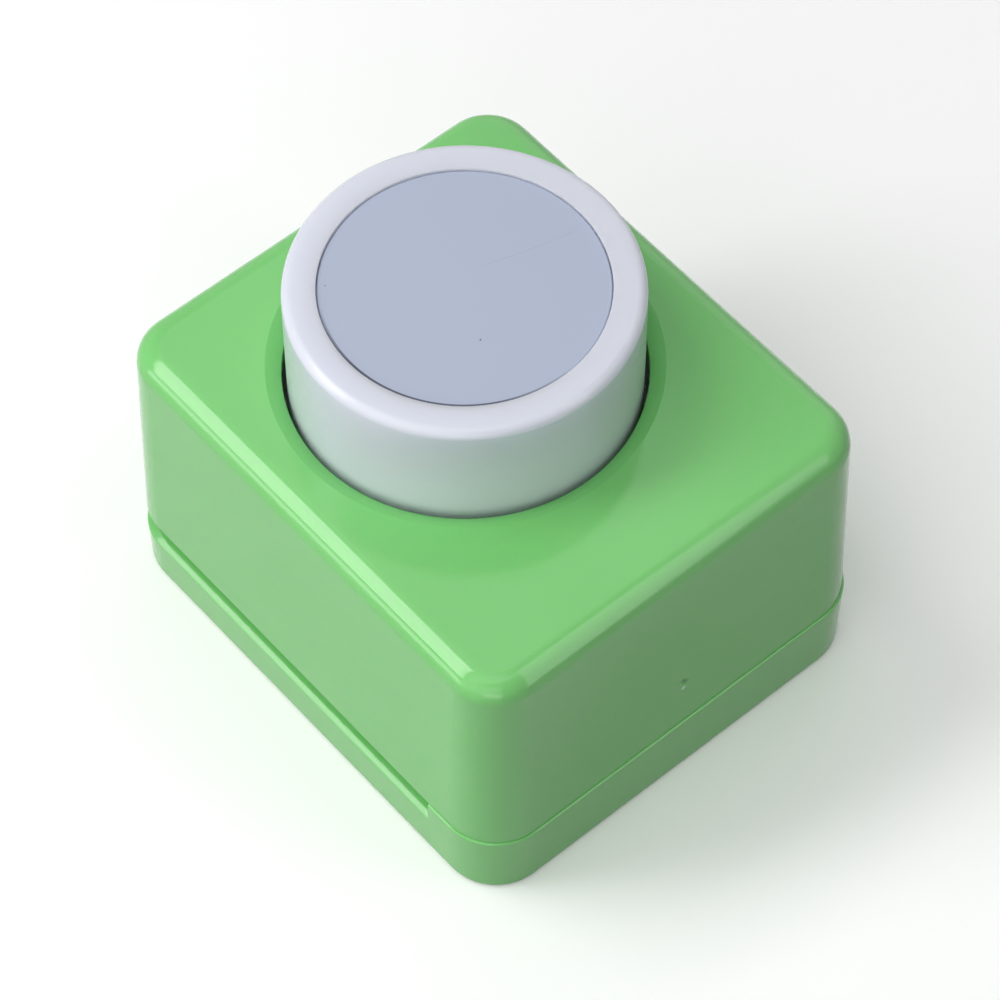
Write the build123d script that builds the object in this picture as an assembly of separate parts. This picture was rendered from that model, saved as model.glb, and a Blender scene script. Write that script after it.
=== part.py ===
from build123d import *
import os
from math import ceil, cos, pi, radians, sin, sqrt, tan

# Craft punch, millimetres. +Z is up and -Y is the closed front.
# The origin is on the table, below the middle of the body.

# Body
body_width = 61.6
body_length = 71.1
top_height = 43.2
seam_height = 10.65
corner_radius = 7.2
top_edge_radius = 3.1
draft_angle = 1.6
shell_wall = 2.2
base_proud = 0.26
seam_edge_radius = 0.22
base_edge_radius = 0.8
gate_mark_diameter = 1.4
gate_mark_depth = 0.25
gate_mark_height = 19.3

# Paper throat
paper_gap = 1.4
closed_depth = 11.1
lead_in_width = 1.3
lead_in_drop = 1.8
rim_width = 1.9
rim_drop = 0.4
lip_radius = 0.3

# Button
button_back_margin = 8.77
button_diameter = 43.0
button_rise = 15.0
button_edge_radius = 1.1
button_wall = 2.0
button_top_wall = 2.6
button_gap = 0.58
flange_width = 2.2
flange_thickness = 2.0
stop_gap = 0.2
sleeve_wall = 2.0
dish_width = 1.95
dish_depth = 1.05
dish_bulge = 0.16
hole_edge_radius = 0.2
disc_diameter = 34.6
disc_thickness = 1.0
disc_gap = 0.12
disc_sink = 0.3
travel = 8.0

# Cutting set
cut_diameter = 32.0
running_gap = 0.04
die_thickness = 3.6
guide_thickness = 3.0
collar_height = 2.0
collar_wall = 2.5
plate_corner_radius = 3.5
plate_seat_gap = 0.15
blade_retract = 2.0
blade_scoop = 0.8
blade_floor = 5.0
blade_wall = 3.0
carrier_thickness = 3.0
carrier_corner_radius = 4.0
carrier_margin = 1.5

# Guide posts and springs
post_flange_gap = 1.9
post_diameter = 4.0
post_slide_gap = 0.08
post_stand = 3.0
post_chamfer = 0.5
press_gap = 0.01
spring_wire = 0.8
spring_post_gap = 0.5
spring_turns = 5.5
spring_rest_length = 14.4
spring_end_gap = 0.05

# Screws and rivets
thread_gap = 0.05
small_screw_diameter = 2.5
small_head_diameter = 4.4
small_head_height = 1.6
long_screw_diameter = 3.0
long_head_diameter = 5.4
long_head_height = 2.0
drive_width = 0.7
drive_depth = 0.8
head_gap = 0.3
boss_wall = 1.4
boss_inset = 0.8
shank_chamfer = 0.3
head_rounding = 0.5
drive_length = 2.6
tip_gap = 0.3
blade_screw_count = 3
blade_screw_circle = 18.0
blade_screw_grip = 5.0
cap_screw_count = 4
cap_boss_inset = 3.0
cap_boss_diameter = 5.0
cap_screw_grip = 9.0
stroke_gap = 0.5
rivet_diameter = 3.0
rivet_head_diameter = 5.0
rivet_head_height = 1.0
rivet_spacing = 10.0
front_screw_inset = 7.15
front_screw_grip = 4.5

# Base underside
ledge_thickness = 1.8
window_wall = 1.8
window_side_margin = 3.0
window_end_margin = 4.0
window_corner_radius = 4.0
window_foot_gap = 0.8
rib_thickness = 1.4
rib_spacing = 19.0
cap_rib_clearance = 3.0
rear_screw_spacing = 23.0

# Heights and places that follow from the sizes above
drift = tan(radians(draft_angle))
table_height = seam_height - paper_gap
lip_height = table_height - lead_in_drop - rim_drop
die_bottom = table_height - die_thickness
ledge_bottom = die_bottom - ledge_thickness
guide_top = seam_height + guide_thickness
collar_top = guide_top + collar_height
blade_bottom = seam_height + blade_retract
carrier_bottom = guide_top + spring_rest_length
carrier_top = carrier_bottom + carrier_thickness
flange_top = carrier_top + flange_thickness
sleeve_bottom = flange_top + stop_gap
button_top = top_height + button_rise
ceiling = top_height - shell_wall
guide_boss_top = carrier_bottom - travel - stroke_gap
guide_screw_grip = guide_boss_top - boss_wall - guide_top
hole_radius = button_diameter / 2 + button_gap
button_centre_y = body_length / 2 - button_back_margin - hole_radius
throat_y = -body_length / 2 + closed_depth
inner_width = body_width - 2 * shell_wall
inner_length = body_length - 2 * shell_wall
plate_width = inner_width - 2 * plate_seat_gap
plate_length = inner_length - 2 * plate_seat_gap
die_width = plate_width - 2 * lead_in_width
die_length = plate_length - 2 * lead_in_width
front_joint_y = (-die_length / 2 + throat_y) / 2
window_width = cut_diameter + 2 * window_side_margin
window_length = cut_diameter + 2 * window_end_margin
post_spacing = sqrt(2) * (button_diameter / 2 + flange_width + post_flange_gap + post_diameter / 2)
carrier_size = post_spacing + post_diameter + 2 * carrier_margin
cap_screw_circle = button_diameter - 2 * cap_boss_inset
neck_diameter = cap_screw_circle - small_head_diameter - 2 * head_gap
neck_bottom = carrier_bottom - small_head_height - head_gap
small_hole = small_screw_diameter + 2 * thread_gap
small_boss = small_screw_diameter + 2 * boss_wall
long_hole = long_screw_diameter + 2 * thread_gap
long_boss = long_screw_diameter + 2 * boss_wall
past = 1.0


def rounded_plate(width, length, radius, bottom, top, centre_y=0.0):
    """Upright slab with rounded corners between two heights."""
    outline = Pos(0, centre_y, bottom) * RectangleRounded(width, length, radius)
    return extrude(outline, top - bottom)


def leaning_block(width, length, radius, bottom, top, lean):
    """Rounded slab whose walls lean in by lean for each millimetre of height."""
    inset = lean * (top - bottom)
    low = Pos(0, 0, bottom) * RectangleRounded(width, length, radius)
    high = Pos(0, 0, top) * RectangleRounded(width - 2 * inset, length - 2 * inset, radius - inset)
    return loft([low.face(), high.face()], ruled=True)


def rod(diameter, bottom, top, x=0.0, y=button_centre_y):
    """Upright round bar between two heights, on the button's axis unless placed elsewhere."""
    return Pos(x, y, bottom) * Cylinder(
        diameter / 2, top - bottom, align=(Align.CENTER, Align.CENTER, Align.MIN)
    )


def bar(width, length, bottom, top, x=0.0, y=0.0, align_y=Align.CENTER):
    """Upright square-edged bar between two heights."""
    return Pos(x, y, bottom) * Box(width, length, top - bottom, align=(Align.CENTER, align_y, Align.MIN))


def round_rim(body, index):
    """The lowest (0) or highest (-1) circular edge of a turned piece."""
    return body.edges().filter_by(GeomType.CIRCLE).sort_by(Axis.Z)[index]


def ring_places(count, circle_diameter):
    """Evenly spaced places on a circle about the button's axis."""
    places = []
    for index in range(count):
        turn = 2 * pi * index / count
        x = circle_diameter / 2 * cos(turn)
        y = button_centre_y + circle_diameter / 2 * sin(turn)
        places.append((x, y))
    return places


def mirrored(x, y):
    """A place on the left and its twin on the right."""
    return [(-x, y), (x, y)]


def post_places():
    """Where the four guide posts stand, by name."""
    half = post_spacing / 2
    return {
        "front_left": (-half, button_centre_y - half),
        "front_right": (half, button_centre_y - half),
        "rear_left": (-half, button_centre_y + half),
        "rear_right": (half, button_centre_y + half),
    }


def side_screw_places():
    """Guide plate screws by the side walls."""
    return mirrored(inner_width / 2 - small_boss / 2 - boss_inset, button_centre_y)


def rear_screw_places():
    """Guide plate screws by the back wall."""
    return mirrored(rear_screw_spacing / 2, inner_length / 2 - small_boss / 2 - boss_inset)


def guide_screw_places():
    """All four guide plate screws."""
    return side_screw_places() + rear_screw_places()


def die_screw_places():
    """Die plate screws: two behind the throat's closed end and two at the back corners."""
    edge = small_head_diameter / 2 + head_gap
    x = die_width / 2 - edge
    return mirrored(x, throat_y + edge) + mirrored(x, die_length / 2 - edge)


def front_screw_places():
    """The two long screws of the closed front, each further in than the guide post behind it."""
    return mirrored(post_spacing / 2 - front_screw_inset, front_joint_y)


def rivet_places():
    """The two rivets between the long screws."""
    return mirrored(rivet_spacing / 2, front_joint_y)


def drill(body, places, diameter, bottom, top):
    """Take a round hole out of a piece at each place."""
    for x, y in places:
        body -= rod(diameter, bottom, top, x, y)
    return body


def screw(shank_diameter, head_diameter, head_height, seat, tip, x, y):
    """Pan head screw whose head rests on seat and whose shank runs up or down to tip."""
    upward = tip > seat
    outer = seat - head_height if upward else seat + head_height
    shank = rod(shank_diameter, min(seat, tip), max(seat, tip), x, y)
    shank = chamfer(round_rim(shank, -1 if upward else 0), shank_chamfer)
    head = rod(head_diameter, min(seat, outer), max(seat, outer), x, y)
    head = fillet(round_rim(head, 0 if upward else -1), head_rounding)
    floor = outer + drive_depth if upward else outer - drive_depth
    body = shank + head
    for width, length in ((drive_width, drive_length), (drive_length, drive_width)):
        body -= bar(width, length, min(outer, floor), max(outer, floor), x, y)
    return body


def group(pieces):
    """Separate equal solids kept together as one piece list."""
    return Compound(children=[solid for piece in pieces for solid in piece.solids()])


def small_screws(places, seat, tip):
    """Equal small screws at several places."""
    sizes = (small_screw_diameter, small_head_diameter, small_head_height)
    return group([screw(*sizes, seat, tip, x, y) for x, y in places])


def base_tray():
    """Lower shell: paper table, closed front, die pocket and hollow underside."""
    lean_in = drift * seam_height
    top_width = body_width + 2 * base_proud
    top_length = body_length + 2 * base_proud
    top_radius = corner_radius + base_proud
    foot_width = top_width - 2 * lean_in
    foot_length = top_length - 2 * lean_in
    foot_radius = top_radius - lean_in
    body = leaning_block(foot_width, foot_length, foot_radius, 0, seam_height, -drift)
    body = fillet(body.faces().sort_by(Axis.Z)[0].edges(), base_edge_radius)
    body = fillet(body.faces().sort_by(Axis.Z)[-1].edges(), seam_edge_radius)
    # The throat takes the top off behind the closed front.
    body -= bar(2 * top_width, 2 * top_length, table_height, seam_height + past, 0, throat_y, Align.MIN)
    lip_in = drift * (seam_height - lip_height)
    body -= lead_in(top_width - 2 * lip_in, top_length - 2 * lip_in, top_radius - lip_in)
    lip = body.edges().filter_by(lambda edge: abs(edge.center().Z - lip_height) < seam_edge_radius)
    lip = lip.filter_by(lambda edge: edge.bounding_box().size.Z < seam_edge_radius)
    body = fillet(lip, lip_radius)
    # Pocket for the die plate and the spacer bar.
    pocket_size = (die_width + 2 * plate_seat_gap, die_length + 2 * plate_seat_gap)
    body -= rounded_plate(*pocket_size, plate_corner_radius + plate_seat_gap, die_bottom, seam_height + past)
    # Hollow underside, with the walls of the window, the ribs and the screw bosses left standing.
    hollow_size = (foot_width - 2 * shell_wall, foot_length - 2 * shell_wall, foot_radius - shell_wall)
    hollow = leaning_block(*hollow_size, -past, ledge_bottom, -drift)
    body -= hollow - underside_walls(top_length)
    body -= rounded_plate(
        window_width, window_length, window_corner_radius, -past, die_bottom + past, button_centre_y
    )
    body = drill(body, die_screw_places(), small_hole, 0, die_bottom + past)
    body = drill(body, die_screw_places(), small_head_diameter + 2 * head_gap, -past, ledge_bottom)
    body = drill(body, front_screw_places(), long_hole, 0, die_bottom + past)
    return drill(body, front_screw_places(), long_head_diameter + 2 * head_gap, -past, ledge_bottom)


def underside_walls(reach):
    """What stands inside the hollow underside, up to the ledge that carries the die plate."""
    top = ledge_bottom + past
    walls = rounded_plate(
        window_width + 2 * window_wall,
        window_length + 2 * window_wall,
        window_corner_radius + window_wall,
        window_foot_gap,
        top,
        button_centre_y,
    )
    small_well = small_head_diameter + 2 * head_gap + 2 * boss_wall
    long_well = long_head_diameter + 2 * head_gap + 2 * boss_wall
    for x, y in die_screw_places():
        walls += rod(small_well, window_foot_gap, top, x, y)
    for x, y in front_screw_places():
        walls += rod(long_well, window_foot_gap, top, x, y)
    walls += bar(2 * reach, rib_thickness, window_foot_gap, top, 0, button_centre_y)
    for x in (-rib_spacing / 2, rib_spacing / 2):
        walls += bar(rib_thickness, 2 * reach, window_foot_gap, top, x)
    return walls


def lead_in(width, length, radius):
    """What is cut off outside the table: a slope down to a low rounded rim, behind the closed front."""
    outline = (Pos(0, 0, lip_height) * RectangleRounded(width, length, radius)).wire()
    heading = outline % 0
    across = Plane(outline @ 0, x_dir=heading.cross(Vector(0, 0, 1)), z_dir=-heading)
    rim_top = (-rim_width, rim_drop)
    slope_top = (-rim_width - lead_in_width, rim_drop + lead_in_drop)
    above = slope_top[1] + past
    sides = Polyline(rim_top, slope_top, (slope_top[0], above), (past, above), (past, 0), (0, 0))
    rim = TangentArc(rim_top, (0, 0), tangent=(1, 0))
    ring = sweep(across * make_face([rim, *sides.edges()]), path=outline)
    return ring & bar(2 * width, 2 * length, 0, top_height, 0, throat_y, Align.MIN)


def top_cover():
    """Upper shell with the button hole, its dish, the guide sleeve and the screw bosses."""
    body = leaning_block(body_width, body_length, corner_radius, seam_height, top_height, drift)
    body = fillet(body.faces().sort_by(Axis.Z)[-1].edges(), top_edge_radius)
    cavity = leaning_block(
        inner_width, inner_length, corner_radius - shell_wall, seam_height, ceiling, drift
    )
    body -= cavity - cover_inner_walls()
    body -= button_opening()
    body = drill(body, guide_screw_places(), small_hole, seam_height, guide_top + guide_screw_grip + tip_gap)
    body = drill(body, front_screw_places(), long_hole, seam_height, guide_top + front_screw_grip + tip_gap)
    hole_edge = body.edges().filter_by(GeomType.CIRCLE).filter_by(
        lambda edge: abs(edge.center().Z - (top_height - dish_depth)) < seam_edge_radius
        and abs(edge.radius - hole_radius) < seam_edge_radius
    )
    body = fillet(hole_edge, hole_edge_radius)
    return body - gate_mark()


def cover_inner_walls():
    """Sleeve, bosses and webs that stand inside the cover."""
    walls = rod(2 * (hole_radius + sleeve_wall), sleeve_bottom, top_height)
    for x, y in guide_screw_places():
        walls += rod(small_boss, guide_top, guide_boss_top, x, y)
    side_reach = small_boss / 2 + boss_inset + shell_wall
    for x, y in side_screw_places():
        outward = side_reach / 2 if x > 0 else -side_reach / 2
        walls += bar(side_reach, small_boss, guide_top, guide_boss_top, x + outward, y)
    for x, y in rear_screw_places():
        walls += bar(small_boss, side_reach, guide_top, guide_boss_top, x, y, Align.MIN)
    front_boss_top = guide_top + front_screw_grip + boss_wall
    for x, y in front_screw_places():
        walls += rod(long_boss, guide_top, front_boss_top, x, y)
        walls += bar(rib_thickness, inner_length / 2 + y, guide_top, front_boss_top, x, y, Align.MAX)
    return walls


def button_opening():
    """The button hole and the rounded slope that leads down to it."""
    rim = hole_radius + dish_width
    edge_height = top_height - dish_depth
    middle = (hole_radius + dish_width / 2, top_height - dish_depth / 2 + dish_bulge)
    above = top_height + past
    under = sleeve_bottom - past
    inner = (hole_radius, edge_height)
    sides = Polyline((rim, top_height), (rim, above), (0, above), (0, under), (hole_radius, under), inner)
    slope = ThreePointArc(inner, middle, (rim, top_height))
    profile = make_face([slope, *sides.edges()])
    return Pos(0, button_centre_y, 0) * revolve(Plane.XZ * profile, Axis.Z)


def gate_mark():
    """Ball whose cap leaves the small round moulding mark on the front."""
    ball_radius = gate_mark_diameter**2 / (8 * gate_mark_depth) + gate_mark_depth / 2
    face_y = -body_length / 2 + drift * (gate_mark_height - seam_height)
    return Pos(0, face_y + gate_mark_depth - ball_radius, gate_mark_height) * Sphere(ball_radius)


def button_cap():
    """White push button: skirt, flange, disc recess, screw bosses and inner ribs."""
    recess_floor = button_top - disc_sink - disc_thickness
    body = rod(button_diameter, carrier_top, button_top)
    body = fillet(round_rim(body, -1), button_edge_radius)
    body += rod(button_diameter + 2 * flange_width, carrier_top, flange_top)
    body -= rod(disc_diameter + 2 * disc_gap, recess_floor, button_top + past)
    cavity_top = recess_floor - button_top_wall
    inner_walls = Part()
    for x, y in ring_places(cap_screw_count, cap_screw_circle):
        inner_walls += rod(cap_boss_diameter, carrier_top, button_top, x, y)
    rib_bottom = carrier_top + cap_rib_clearance
    inner_walls += bar(button_diameter, rib_thickness, rib_bottom, button_top, 0, button_centre_y)
    inner_walls += bar(rib_thickness, button_diameter, rib_bottom, button_top, 0, button_centre_y)
    body -= rod(button_diameter - 2 * button_wall, carrier_top - past, cavity_top) - inner_walls
    screw_hole_top = carrier_top + cap_screw_grip + tip_gap
    places = ring_places(cap_screw_count, cap_screw_circle)
    return drill(body, places, small_hole, carrier_top - past, screw_hole_top)


def button_disc():
    """Thin disc glued in the button's recess."""
    top = button_top - disc_sink
    disc = rod(disc_diameter, top - disc_thickness, top)
    return chamfer(round_rim(disc, -1), disc_gap)


def punch_carrier():
    """Plate between button and punch, sliding on the four posts."""
    plate = rounded_plate(
        carrier_size, carrier_size, carrier_corner_radius, carrier_bottom, carrier_top, button_centre_y
    )
    holes = (
        (post_places().values(), post_diameter + 2 * post_slide_gap),
        (ring_places(cap_screw_count, cap_screw_circle), small_hole),
        (ring_places(blade_screw_count, blade_screw_circle), small_hole),
    )
    for places, diameter in holes:
        plate = drill(plate, places, diameter, carrier_bottom - past, carrier_top + past)
    return plate


def punch_blade():
    """Round male punch, hollow from above, with a neck between the cap screws and a scooped cutting face."""
    body = rod(cut_diameter, blade_bottom, neck_bottom) + rod(neck_diameter, neck_bottom, carrier_bottom)
    pocket = rod(cut_diameter - 2 * blade_wall, blade_bottom + blade_floor, carrier_bottom + past)
    places = ring_places(blade_screw_count, blade_screw_circle)
    bosses = Part()
    for x, y in places:
        bosses += rod(small_boss, blade_bottom, carrier_bottom, x, y)
    body -= pocket - bosses
    hole_bottom = carrier_bottom - blade_screw_grip - tip_gap
    body = drill(body, places, small_hole, hole_bottom, carrier_bottom + past)
    scoop_radius = cut_diameter**2 / (8 * blade_scoop) + blade_scoop / 2
    scoop = Rot(0, 90, 0) * Cylinder(scoop_radius, 2 * cut_diameter)
    return body - Pos(0, button_centre_y, blade_bottom + blade_scoop - scoop_radius) * scoop


def die_plate():
    """Lower plate with the sharp round hole, seated flush with the paper table."""
    under = die_bottom - past
    over = table_height + past
    plate = rounded_plate(die_width, die_length, plate_corner_radius, die_bottom, table_height)
    plate -= rod(cut_diameter + 2 * running_gap, under, over)
    plate = drill(plate, die_screw_places(), small_hole, under, table_height - tip_gap)
    plate = drill(plate, front_screw_places(), long_hole, under, over)
    plate = drill(plate, rivet_places(), rivet_diameter + 2 * press_gap, under, over)
    head_hole = rivet_head_diameter + 2 * thread_gap
    return drill(plate, rivet_places(), head_hole, under, die_bottom + rivet_head_height)


def spacer_bar():
    """Bar between the plates at the closed front, one paper gap thick."""
    front = -die_length / 2
    back = throat_y - plate_seat_gap
    width = die_width - 2 * plate_corner_radius
    body = bar(width, back - front, table_height, seam_height, 0, front, Align.MIN)
    body = drill(body, front_screw_places(), long_hole, table_height - past, seam_height + past)
    rivet_hole = rivet_diameter + 2 * press_gap
    return drill(body, rivet_places(), rivet_hole, table_height - past, seam_height + past)


def guide_plate():
    """Upper plate with a raised collar round the punch."""
    under = seam_height - past
    over = guide_top + past
    plate = rounded_plate(plate_width, plate_length, corner_radius - shell_wall, seam_height, guide_top)
    plate += rod(cut_diameter + 2 * collar_wall, guide_top, collar_top)
    plate -= rod(cut_diameter + 2 * running_gap, under, collar_top + past)
    plate = drill(plate, post_places().values(), post_diameter + 2 * press_gap, under, over)
    plate = drill(plate, rivet_places(), rivet_diameter + 2 * press_gap, under, over)
    plate = drill(plate, front_screw_places(), long_hole, under, over)
    plate = drill(plate, guide_screw_places(), small_hole, under, over)
    head_hole = small_head_diameter + 2 * thread_gap
    return drill(plate, guide_screw_places(), head_hole, under, seam_height + small_head_height)


def guide_post(x, y):
    """Steel post pressed into the guide plate."""
    post = rod(post_diameter, seam_height, carrier_top + post_stand, x, y)
    return chamfer(round_rim(post, -1), post_chamfer)


def plate_rivet(x, y):
    """Rivet through both plates, its lower head let into the die plate."""
    shank = rod(rivet_diameter, die_bottom, guide_top, x, y)
    low_head = rod(rivet_head_diameter, die_bottom, die_bottom + rivet_head_height, x, y)
    high_head = rod(rivet_head_diameter, guide_top, guide_top + rivet_head_height, x, y)
    return shank + low_head + fillet(round_rim(high_head, -1), head_rounding)


def front_screws():
    """Two long screws from the base's underside into the cover."""
    sizes = (long_screw_diameter, long_head_diameter, long_head_height)
    tip = guide_top + front_screw_grip
    return group([screw(*sizes, ledge_bottom, tip, x, y) for x, y in front_screw_places()])


def return_spring(x, y):
    """Compression spring round a post, from the guide plate to the carrier."""
    radius = post_diameter / 2 + spring_post_gap + spring_wire / 2
    low = guide_top + spring_wire / 2 + spring_end_gap
    high = carrier_bottom - spring_wire / 2 - spring_end_gap
    climb = (high - low) / (2 * pi * spring_turns)
    quarters = ceil(4 * spring_turns)
    angles = [2 * pi * spring_turns * index / quarters for index in range(quarters + 1)]

    def place(angle):
        return Vector(x + radius * cos(angle), y + radius * sin(angle), low + climb * angle)

    def heading(angle):
        return Vector(-radius * sin(angle), radius * cos(angle), climb).normalized()

    arcs = []
    for start, end in zip(angles, angles[1:]):
        arcs += two_arcs(place(start), heading(start), place(end), heading(end))
    section = Plane(place(0), z_dir=heading(0)) * Circle(spring_wire / 2)
    return sweep(section, path=Wire(arcs))


def two_arcs(start, start_way, end, end_way):
    """Two arcs that leave start along start_way and reach end along end_way."""
    chord = end - start
    across = chord.dot(start_way + end_way)
    spread = 2 * (1 - start_way.dot(end_way))
    reach = (-across + sqrt(across**2 + spread * chord.dot(chord))) / spread
    first = start + start_way * reach
    second = end - end_way * reach
    middle = (first + second) * 0.5
    middle_way = (second - first).normalized()
    return [
        TangentArc(start, middle, tangent=start_way).edge(),
        TangentArc(middle, end, tangent=middle_way).edge(),
    ]


def spring_self_gap():
    """Least clear space between points on turns that lie next to each other."""
    radius = post_diameter / 2 + spring_post_gap + spring_wire / 2
    rise = (carrier_bottom - guide_top - spring_wire - 2 * spring_end_gap) / spring_turns
    steps = 360
    gaps = []
    for step in range(steps // 2, 3 * steps // 2):
        turn = 2 * pi * step / steps
        sideways = 2 * radius * sin(turn / 2)
        gaps.append(sqrt(sideways**2 + (rise * step / steps) ** 2) - spring_wire)
    return min(gaps)


def all_parts():
    """Every piece of the punch by name, at rest."""
    cap_places = ring_places(cap_screw_count, cap_screw_circle)
    blade_places = ring_places(blade_screw_count, blade_screw_circle)
    guide_seat = seam_height + small_head_height
    parts = {
        "base_tray": base_tray(),
        "top_cover": top_cover(),
        "button_cap": button_cap(),
        "button_disc": button_disc(),
        "punch_carrier": punch_carrier(),
        "punch_blade": punch_blade(),
        "die_plate": die_plate(),
        "spacer_bar": spacer_bar(),
        "guide_plate": guide_plate(),
        "plate_rivets": group([plate_rivet(x, y) for x, y in rivet_places()]),
        "front_screws": front_screws(),
        "die_plate_screws": small_screws(die_screw_places(), ledge_bottom, table_height - 2 * tip_gap),
        "guide_plate_screws": small_screws(guide_screw_places(), guide_seat, guide_top + guide_screw_grip),
        "cap_screws": small_screws(cap_places, carrier_bottom, carrier_top + cap_screw_grip),
        "blade_screws": small_screws(blade_places, carrier_top, carrier_bottom - blade_screw_grip),
    }
    for name, (x, y) in post_places().items():
        parts["guide_post_" + name] = guide_post(x, y)
        parts["return_spring_" + name] = return_spring(x, y)
    return parts


if __name__ == "__main__":
    os.makedirs("parts", exist_ok=True)
    for name, part in all_parts().items():
        export_step(part, f"parts/{name}.step")
    print("least gap between spring turns", round(spring_self_gap(), 3))
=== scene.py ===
import bpy
from math import cos, pi, radians, sin
from mathutils import Matrix, Vector


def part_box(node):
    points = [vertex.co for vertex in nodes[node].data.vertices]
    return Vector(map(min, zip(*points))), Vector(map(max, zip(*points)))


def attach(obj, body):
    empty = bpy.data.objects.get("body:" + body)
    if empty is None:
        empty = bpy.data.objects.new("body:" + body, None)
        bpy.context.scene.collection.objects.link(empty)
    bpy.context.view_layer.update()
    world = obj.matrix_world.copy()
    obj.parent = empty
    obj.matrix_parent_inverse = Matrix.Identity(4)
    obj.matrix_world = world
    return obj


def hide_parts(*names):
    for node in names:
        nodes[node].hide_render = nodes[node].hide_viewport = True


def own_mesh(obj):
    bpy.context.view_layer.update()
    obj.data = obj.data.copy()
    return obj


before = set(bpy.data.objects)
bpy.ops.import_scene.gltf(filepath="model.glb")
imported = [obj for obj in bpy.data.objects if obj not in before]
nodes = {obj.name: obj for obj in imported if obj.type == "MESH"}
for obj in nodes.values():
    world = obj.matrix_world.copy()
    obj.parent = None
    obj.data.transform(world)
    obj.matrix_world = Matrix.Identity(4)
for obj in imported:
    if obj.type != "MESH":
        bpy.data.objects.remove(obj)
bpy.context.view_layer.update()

# Places read from the model, in metres
disc_low, disc_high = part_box("button_disc")
axis_x = (disc_low[0] + disc_high[0]) / 2
axis_y = (disc_low[1] + disc_high[1]) / 2
disc_radius = (disc_high[0] - disc_low[0]) / 2
disc_top = disc_high[2]

# Camera, fitted to the outline of the photographed punch
camera_azimuth = radians(-40.376)
camera_elevation = radians(55.594)
camera_roll = radians(-0.2)
camera_distance = 0.53527
camera_right = 0.00102
camera_down = 0.00147
camera_aim_height = 0.02159
camera_lens = 156.353
camera_clip = (0.01, 20)
sensor_width = 36.0

# Lamps: name, direction from the punch, distance, long axis, width, height, radiance
lamps = (
    ("key", (-0.52, 0.44, 0.73), 0.9, (-0.82, 0.0, -0.575), 0.84, 0.28, 5.9),
    ("overhead", (0.10, 0.40, 0.91), 0.9, (1.0, 0.0, -0.11), 0.62, 0.45, 0.75),
    ("top_fill", (-0.12, -0.14, 0.98), 0.9, (1.0, 0.0, 0.12), 0.55, 0.50, 1.15),
    ("left_high", (-0.62, -0.04, 0.78), 0.9, (0.0, 1.0, 0.10), 0.42, 0.50, 1.1),
    ("left_side", (-0.95, -0.12, 0.29), 0.9, (0.12, -0.99, 0.0), 0.60, 0.50, 0.95),
    ("front_left", (-0.66, -0.56, 0.50), 0.9, (0.65, -0.76, 0.0), 0.50, 0.50, 1.1),
    ("side_low", (-0.70, -0.70, 0.15), 0.9, (0.71, -0.71, 0.0), 0.50, 0.26, 2.3),
    ("left_low", (-0.89, 0.43, 0.15), 0.7, (-0.43, -0.89, 0.0), 0.30, 0.20, 3.6),
    ("front_strip", (0.37, -0.70, 0.61), 0.9, (0.0, -0.66, -0.75), 1.40, 0.15, 2.2),
    ("right_back", (0.78, 0.40, 0.48), 0.9, (-0.45, 0.89, 0.0), 0.60, 0.50, 0.5),
)
lamp_aim_height = 0.03

# Surroundings: light of the world in front of and behind the punch, and the floor
world_front = 0.02
world_back = 0.26
world_heading = (0.45, 0.75, 0.48)
world_fade = (-0.2, 1.0)
floor_tone = 1.0
floor_bounce = 0.15
floor_glow = 0.08
floor_reach = 3.0
white = (1, 1, 1, 1)

# Colours
green_deep = (0.186, 0.592, 0.164)
green_pale = (0.198, 0.610, 0.176)
green_speck = (0.04, 0.15, 0.04)
button_deep = (0.690, 0.715, 0.815)
button_pale = (0.706, 0.731, 0.831)
button_speck = (0.35, 0.36, 0.40)
disc_deep = (0.415, 0.467, 0.600)
disc_pale = (0.429, 0.481, 0.614)
disc_scratch = (0.27, 0.31, 0.42)
# Painted shadow at the disc's near edge; the two tiny dots share this colour
disc_dot_and_shadow_color = (0.08, 0.09, 0.14)

# Marks on the body, and a painted shadow and a painted highlight on the moulding gate's dimple: place and
# radius, in metres
corner_pit = ((-0.03108, -0.02602, 0.00522), 0.00018)
# Painted shadow on the gate's dimple
gate_painted_shadow = ((0.00045, -0.03517, 0.0191), 0.0007)
gate_painted_shadow_color = (0.07, 0.26, 0.07)
# Painted highlight on the gate's dimple
gate_painted_highlight = ((0.00018, -0.03534, 0.0180), 0.0005)
gate_painted_highlight_color = (0.75, 0.95, 0.80)

# Marks on the disc, and a painted shadow line along its near edge, in metres from its centre
large_dot = ((-0.0036, -0.0071), 0.00015)
small_dot = ((-0.0123, 0.0107), 0.00011)
# Painted shadow line: its width, the side it darkens, and its fade round the edge
painted_shadow_width = 0.00033
painted_shadow_side = (-0.84, -0.54)
painted_shadow_fade = (0.45, 0.85)
scratch_bend = 6.78
scratch_slope = -0.4054
scratch_start = 0.002388
scratch_width = 0.00008
scratch_fade_in = (0.001, 0.005)
scratch_fade_out = (0.0150, 0.0165)


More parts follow.
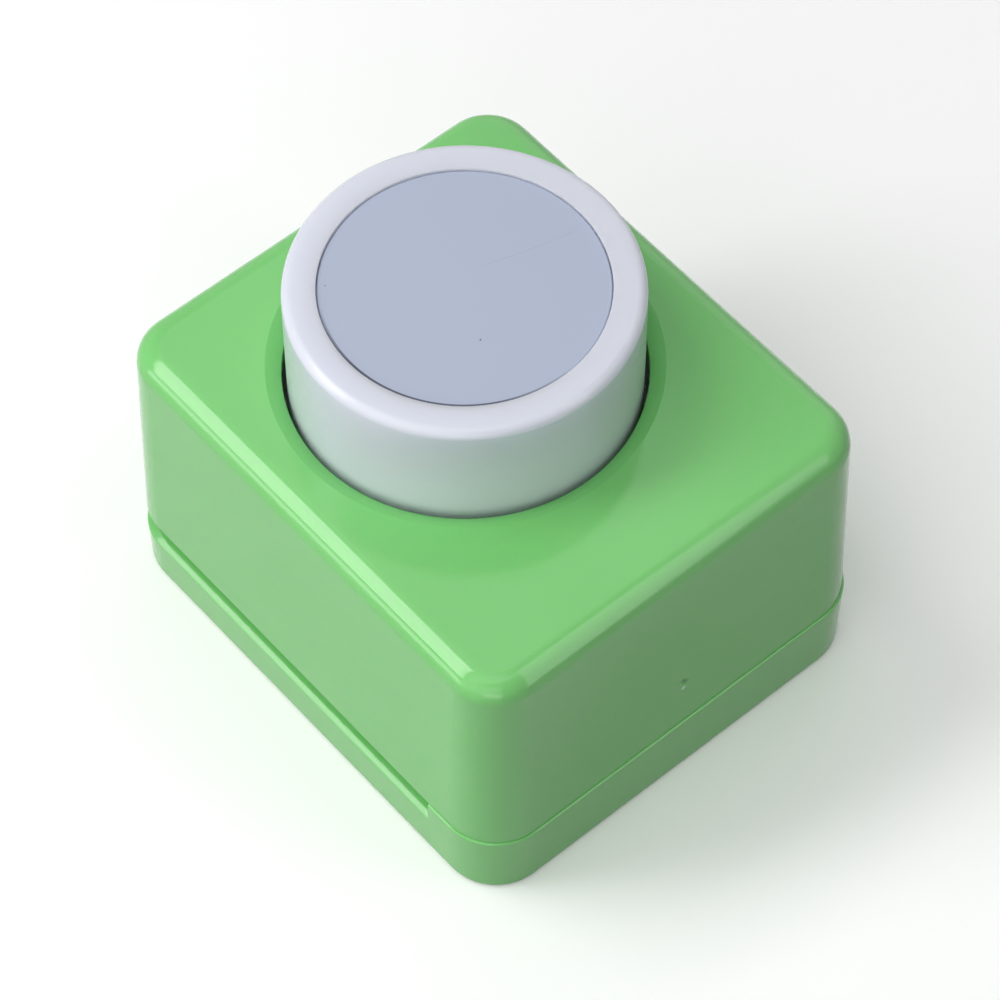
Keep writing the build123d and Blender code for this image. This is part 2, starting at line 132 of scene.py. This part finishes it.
def add_camera():
    """The photograph's long lens, from the front left and above."""
    back = Vector((
        sin(camera_azimuth) * cos(camera_elevation),
        -cos(camera_azimuth) * cos(camera_elevation),
        sin(camera_elevation),
    ))
    right = Vector((cos(camera_azimuth), sin(camera_azimuth), 0))
    up = back.cross(right)
    rolled_right = right * cos(camera_roll) + up * sin(camera_roll)
    rolled_up = up * cos(camera_roll) - right * sin(camera_roll)
    data = bpy.data.cameras.new("camera")
    data.lens = camera_lens
    data.sensor_width = sensor_width
    data.clip_start, data.clip_end = camera_clip
    camera = bpy.data.objects.new("camera", data)
    bpy.context.scene.collection.objects.link(camera)
    place = Vector((0, 0, camera_aim_height)) + back * camera_distance
    place += rolled_right * camera_right - rolled_up * camera_down
    turn = Matrix((rolled_right, rolled_up, back)).transposed().to_4x4()
    camera.matrix_world = Matrix.Translation(place) @ turn
    bpy.context.scene.camera = camera


def add_lamp(name, direction, distance, long_axis, width, height, radiance):
    """Rectangular soft lamp that faces the punch."""
    away = Vector(direction).normalized()
    side = Vector(long_axis)
    side = (side - away * side.dot(away)).normalized()
    data = bpy.data.lights.new(name, "AREA")
    data.shape = "RECTANGLE"
    data.size = width
    data.size_y = height
    data.energy = radiance * pi * width * height
    lamp = bpy.data.objects.new(name, data)
    bpy.context.scene.collection.objects.link(lamp)
    place = Vector((0, 0, lamp_aim_height)) + away * distance
    turn = Matrix((side, away.cross(side), away)).transposed().to_4x4()
    lamp.matrix_world = Matrix.Translation(place) @ turn


class Tree:
    """Short calls for building a material's nodes."""

    def __init__(self, name, roughness, ior=1.5, metallic=0.0):
        self.material = bpy.data.materials.new(name)
        self.material.use_nodes = True
        self.nodes = self.material.node_tree.nodes
        self.links = self.material.node_tree.links
        self.shader = self.nodes["Principled BSDF"]
        self.shader.inputs["Roughness"].default_value = roughness
        self.shader.inputs["IOR"].default_value = ior
        self.shader.inputs["Metallic"].default_value = metallic
        self.place = self.add("ShaderNodeTexCoord").outputs["Object"]

    def add(self, kind, **settings):
        node = self.nodes.new(kind)
        for key, value in settings.items():
            setattr(node, key, value)
        return node

    def feed(self, socket, value):
        """Sets a socket to a number or links it to another socket."""
        if isinstance(value, bpy.types.NodeSocket):
            self.links.new(value, socket)
        else:
            socket.default_value = value

    def math(self, operation, *values, clamp=False):
        node = self.add("ShaderNodeMath", operation=operation, use_clamp=clamp)
        for socket, value in zip(node.inputs, values):
            self.feed(socket, value)
        return node.outputs[0]

    def times(self, first, second):
        return self.math("MULTIPLY", first, second)

    def plus(self, first, second):
        return self.math("ADD", first, second)

    def stretch(self, scale):
        """Object coordinates scaled differently along x, y and z."""
        node = self.add("ShaderNodeMapping")
        self.feed(node.inputs["Vector"], self.place)
        node.inputs["Scale"].default_value = scale
        return node.outputs[0]

    def noise(self, scale, detail=2.0, vector=None, roughness=0.5):
        """Soft clouds, from about 0.3 to 0.7."""
        node = self.add("ShaderNodeTexNoise")
        self.feed(node.inputs["Vector"], vector or self.place)
        node.inputs["Scale"].default_value = scale
        node.inputs["Detail"].default_value = detail
        node.inputs["Roughness"].default_value = roughness
        return node.outputs["Fac"]

    def specks(self, scale, size, share):
        """Sparse round specks: 1 inside a speck, 0 elsewhere."""
        node = self.add("ShaderNodeTexVoronoi")
        self.feed(node.inputs["Vector"], self.place)
        node.inputs["Scale"].default_value = scale
        near = self.span(node.outputs["Distance"], size, size * 0.6, 0.0, 1.0)
        lucky = self.add("ShaderNodeSeparateColor")
        self.links.new(node.outputs["Color"], lucky.inputs[0])
        return self.times(near, self.math("LESS_THAN", lucky.outputs[0], share))

    def span(self, value, low, high, out_low, out_high):
        """Maps low to high onto out_low to out_high, and holds the ends."""
        node = self.add("ShaderNodeMapRange")
        for socket, number in zip(node.inputs, (value, low, high, out_low, out_high)):
            self.feed(socket, number)
        return node.outputs["Result"]

    def blend(self, factor, first, second):
        """Colour from first to second."""
        node = self.add("ShaderNodeMix", data_type="RGBA")
        self.feed(node.inputs["Factor"], factor)
        for socket, color in ((node.inputs["A"], first), (node.inputs["B"], second)):
            is_socket = isinstance(color, bpy.types.NodeSocket)
            self.feed(socket, color if is_socket else (*color, 1))
        return node.outputs["Result"]

    def ball(self, centre, radius):
        """1 at a point on the surface, falling to 0 at a radius."""
        node = self.add("ShaderNodeVectorMath", operation="DISTANCE")
        self.links.new(self.place, node.inputs[0])
        node.inputs[1].default_value = centre
        return self.span(node.outputs["Value"], radius, 0.0, 0.0, 1.0)

    def color(self, value):
        self.feed(self.shader.inputs["Base Color"], value)

    def roughness(self, value):
        self.feed(self.shader.inputs["Roughness"], value)

    def glow_through(self, weight, radius, scale):
        """Light that wanders through the plastic before it comes out again."""
        self.shader.inputs["Subsurface Weight"].default_value = weight
        self.shader.inputs["Subsurface Radius"].default_value = radius
        self.shader.inputs["Subsurface Scale"].default_value = scale

    def bump(self, height, depth, strength=1.0):
        """Fine relief, depth in metres."""
        node = self.add("ShaderNodeBump")
        node.inputs["Strength"].default_value = strength
        node.inputs["Distance"].default_value = depth
        self.feed(node.inputs["Height"], height)
        self.links.new(node.outputs["Normal"], self.shader.inputs["Normal"])


def green_plastic():
    """Glossy moulded green: cloudy pigment, flow lines, moulding waviness, specks, and a painted shadow and
    a painted highlight on the gate's dimple.
    """
    tree = Tree("green_plastic", 0.12, ior=1.47)
    tree.glow_through(0.3, (0.4, 1.0, 0.35), 0.0014)
    cloud = tree.noise(70, 3)
    flow = tree.noise(40, 4, tree.stretch((1.0, 1.0, 7.0)))
    tone = tree.plus(tree.times(cloud, 0.6), tree.times(flow, 0.4))
    base = tree.blend(tree.span(tone, 0.3, 0.7, 0.0, 1.0), green_deep, green_pale)
    speck = tree.specks(95, 0.035, 0.05)
    pit = tree.math("GREATER_THAN", tree.ball(*corner_pit), 0.1)
    marks = tree.math("MAXIMUM", tree.times(speck, 0.5), pit)
    marked = tree.blend(marks, base, green_speck)
    # Painted shadow, then painted highlight, on the gate's dimple
    shaded = tree.blend(tree.ball(*gate_painted_shadow), marked, gate_painted_shadow_color)
    tree.color(tree.blend(tree.ball(*gate_painted_highlight), shaded, gate_painted_highlight_color))
    tree.roughness(tree.span(tree.noise(900, 2), 0.35, 0.65, 0.10, 0.15))
    wave = tree.plus(tree.noise(260, 2), tree.times(tree.noise(2600, 2), 0.05))
    tree.bump(tree.math("SUBTRACT", wave, tree.times(marks, 2.0)), 0.00001, 0.5)
    return tree.material


def white_plastic():
    """Cool white moulded plastic, a little softer than the green."""
    tree = Tree("white_plastic", 0.17, ior=1.5)
    tree.glow_through(0.8, (1.0, 1.0, 1.0), 0.0035)
    cloud = tree.noise(60, 3)
    base = tree.blend(tree.span(cloud, 0.3, 0.7, 0.0, 1.0), button_deep, button_pale)
    speck = tree.specks(120, 0.03, 0.03)
    tree.color(tree.blend(tree.times(speck, 0.3), base, button_speck))
    tree.roughness(tree.span(tree.noise(1100, 2), 0.35, 0.65, 0.20, 0.26))
    wave = tree.plus(tree.noise(230, 2), tree.times(tree.noise(3000, 2), 0.06))
    tree.bump(wave, 0.00001, 0.5)
    return tree.material


def disc_plastic():
    """Smooth blue-grey inlay with a painted shadow line at its near edge, one faint scratch and two tiny
    dots.
    """
    tree = Tree("disc_plastic", 0.3, ior=1.5)
    base = tree.blend(tree.noise(55, 2), disc_deep, disc_pale)
    split = tree.add("ShaderNodeSeparateXYZ")
    tree.links.new(tree.place, split.inputs[0])
    x = tree.math("SUBTRACT", split.outputs["X"], axis_x)
    y = tree.math("SUBTRACT", split.outputs["Y"], axis_y)

    radius = tree.math("SQRT", tree.plus(tree.times(x, x), tree.times(y, y)))
    # Painted shadow: the disc's outer rim darkened on its near side, where the gap to the recess lies in
    # shade
    toward = tree.math("MULTIPLY_ADD", x, painted_shadow_side[0], tree.times(y, painted_shadow_side[1]))
    near = tree.span(tree.math("DIVIDE", toward, disc_radius), *painted_shadow_fade, 0.0, 1.0)
    edge = tree.times(tree.math("GREATER_THAN", radius, disc_radius - painted_shadow_width), near)
    dots = tree.math("MAXIMUM", *(
        tree.ball((axis_x + place[0], axis_y + place[1], disc_top), size)
        for place, size in (large_dot, small_dot)
    ))
    marks = tree.math("MAXIMUM", edge, tree.math("MULTIPLY", dots, 2.0, clamp=True))

    slope = tree.math("MULTIPLY_ADD", x, scratch_bend, scratch_slope)
    curve = tree.math("MULTIPLY_ADD", x, slope, scratch_start)
    across = tree.math("ABSOLUTE", tree.math("SUBTRACT", y, curve))
    line = tree.span(across, scratch_width, 0.0, 0.0, 1.0)
    begins = tree.span(x, *scratch_fade_in, 0.0, 1.0)
    ends = tree.span(x, *scratch_fade_out, 1.0, 0.0)
    scratch = tree.times(line, tree.times(tree.times(begins, ends), tree.noise(700, 2)))

    worn = tree.blend(tree.times(scratch, 0.8), base, disc_scratch)
    # The dots and the painted shadow line take the dark colour
    tree.color(tree.blend(marks, worn, disc_dot_and_shadow_color))
    rough = tree.span(tree.noise(90, 2), 0.0, 1.0, 0.29, 0.35)
    tree.roughness(tree.plus(rough, tree.times(scratch, 0.3)))
    tree.bump(tree.times(scratch, -1.0), 0.000012, 0.6)
    return tree.material


def steel(name, dark, light, roughness, scale, stretch, brush_depth):
    """Bare metal with brushed or drawn lines along one direction."""
    tree = Tree(name, roughness, ior=2.5, metallic=1.0)
    brush = tree.noise(scale, 4, tree.stretch(stretch), 0.6)
    cloud = tree.noise(120, 3)
    tone = tree.plus(tree.times(brush, 0.5), tree.times(cloud, 0.5))
    tree.color(tree.blend(tree.span(tone, 0.35, 0.65, 0.0, 1.0), dark, light))
    tree.roughness(tree.span(brush, 0.3, 0.7, roughness * 0.8, roughness * 1.25))
    tree.bump(brush, brush_depth, 0.5)
    return tree.material


def paint(names, material):
    for name in names:
        piece = nodes[name]
        piece.data.materials.clear()
        piece.data.materials.append(material)


def seen_rays(node_tree):
    """1 for rays that show the surroundings, directly, mirrored or through glass, and 0 for all others."""
    path = node_tree.nodes.new("ShaderNodeLightPath")
    seen = path.outputs["Is Camera Ray"]
    for kind in ("Is Glossy Ray", "Is Transmission Ray"):
        both = node_tree.nodes.new("ShaderNodeMath")
        both.operation = "MAXIMUM"
        node_tree.links.new(seen, both.inputs[0])
        node_tree.links.new(path.outputs[kind], both.inputs[1])
        seen = both.outputs[0]
    return seen


def add_coil(name, material):
    """A copy of a return spring, in spring steel, hung on the body in place of the hidden original."""
    coil = bpy.data.objects.new(name + "_coil", nodes[name].data.copy())
    bpy.context.scene.collection.objects.link(coil)
    coil.data.materials.clear()
    coil.data.materials.append(material)
    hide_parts(name)
    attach(coil, "body")
    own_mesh(coil)


def floor_material():
    """Matt white paper that throws little of its light back up on the punch."""
    tree = Tree("floor_white", 0.9, ior=1.3)
    pale = tree.blend(tree.noise(900, 2), (floor_tone * 0.995,) * 3, (floor_tone,) * 3)
    seen = seen_rays(tree.material.node_tree)
    tree.color(tree.blend(seen, (floor_bounce,) * 3, pale))
    tree.shader.inputs["Emission Color"].default_value = white
    tree.feed(tree.shader.inputs["Emission Strength"], tree.times(seen, floor_glow))
    return tree.material


def add_floor():
    """Plain white floor that keeps the punch's shadow."""
    mesh = bpy.data.meshes.new("floor")
    corners = [(x * floor_reach, y * floor_reach, 0) for x, y in ((-1, -1), (1, -1), (1, 1), (-1, 1))]
    mesh.from_pydata(corners, [], [(0, 1, 2, 3)])
    floor = bpy.data.objects.new("floor", mesh)
    bpy.context.scene.collection.objects.link(floor)
    floor.data.materials.append(floor_material())


def add_world():
    """Soft surroundings, lighter behind the punch, and white where they are seen directly or mirrored."""
    world = bpy.data.worlds.new("world")
    bpy.context.scene.world = world
    world.use_nodes = True
    tree = world.node_tree
    background = tree.nodes["Background"]
    heading = tree.nodes.new("ShaderNodeVectorMath")
    heading.operation = "DOT_PRODUCT"
    tree.links.new(tree.nodes.new("ShaderNodeTexCoord").outputs["Generated"], heading.inputs[0])
    heading.inputs[1].default_value = Vector(world_heading).normalized()
    soft = tree.nodes.new("ShaderNodeMapRange")
    for socket, number in zip(list(soft.inputs)[1:5], (*world_fade, world_front, world_back)):
        socket.default_value = number
    tree.links.new(heading.outputs["Value"], soft.inputs["Value"])
    level = tree.nodes.new("ShaderNodeMapRange")
    level.inputs["To Max"].default_value = 1.0
    tree.links.new(soft.outputs["Result"], level.inputs["To Min"])
    tree.links.new(seen_rays(tree), level.inputs["Value"])
    tree.links.new(level.outputs["Result"], background.inputs["Strength"])
    background.inputs["Color"].default_value = white


add_camera()
paint(["top_cover", "base_tray"], green_plastic())
paint(["button_cap"], white_plastic())
paint(["button_disc"], disc_plastic())
paint(
    ["die_plate", "guide_plate", "spacer_bar", "punch_carrier"],
    steel("plate_steel", (0.46, 0.46, 0.48), (0.58, 0.58, 0.59), 0.34, 900, (0.06, 1, 1), 0.000006),
)
paint(
    ["punch_blade"],
    steel("blade_steel", (0.52, 0.52, 0.53), (0.66, 0.66, 0.67), 0.22, 1400, (1, 1, 0.05), 0.000004),
)
springs = [name for name in nodes if name.startswith("return_spring")]
spring_steel = steel("spring_steel", (0.40, 0.40, 0.41), (0.55, 0.55, 0.56), 0.26, 2500, (1, 1, 1), 0.000004)
paint(springs, spring_steel)
for name in springs:
    add_coil(name, spring_steel)
paint(
    [name for name in nodes if name.startswith("guide_post")],
    steel("post_steel", (0.60, 0.60, 0.61), (0.70, 0.70, 0.71), 0.16, 2200, (1, 1, 0.04), 0.000003),
)
paint(
    ["plate_rivets", "front_screws", "die_plate_screws", "guide_plate_screws", "cap_screws", "blade_screws"],
    steel("screw_steel", (0.50, 0.50, 0.51), (0.64, 0.64, 0.65), 0.30, 1800, (1, 1, 1), 0.000005),
)
add_floor()
add_world()
for lamp in lamps:
    add_lamp(*lamp)
bpy.context.scene.view_settings.view_transform = "Standard"
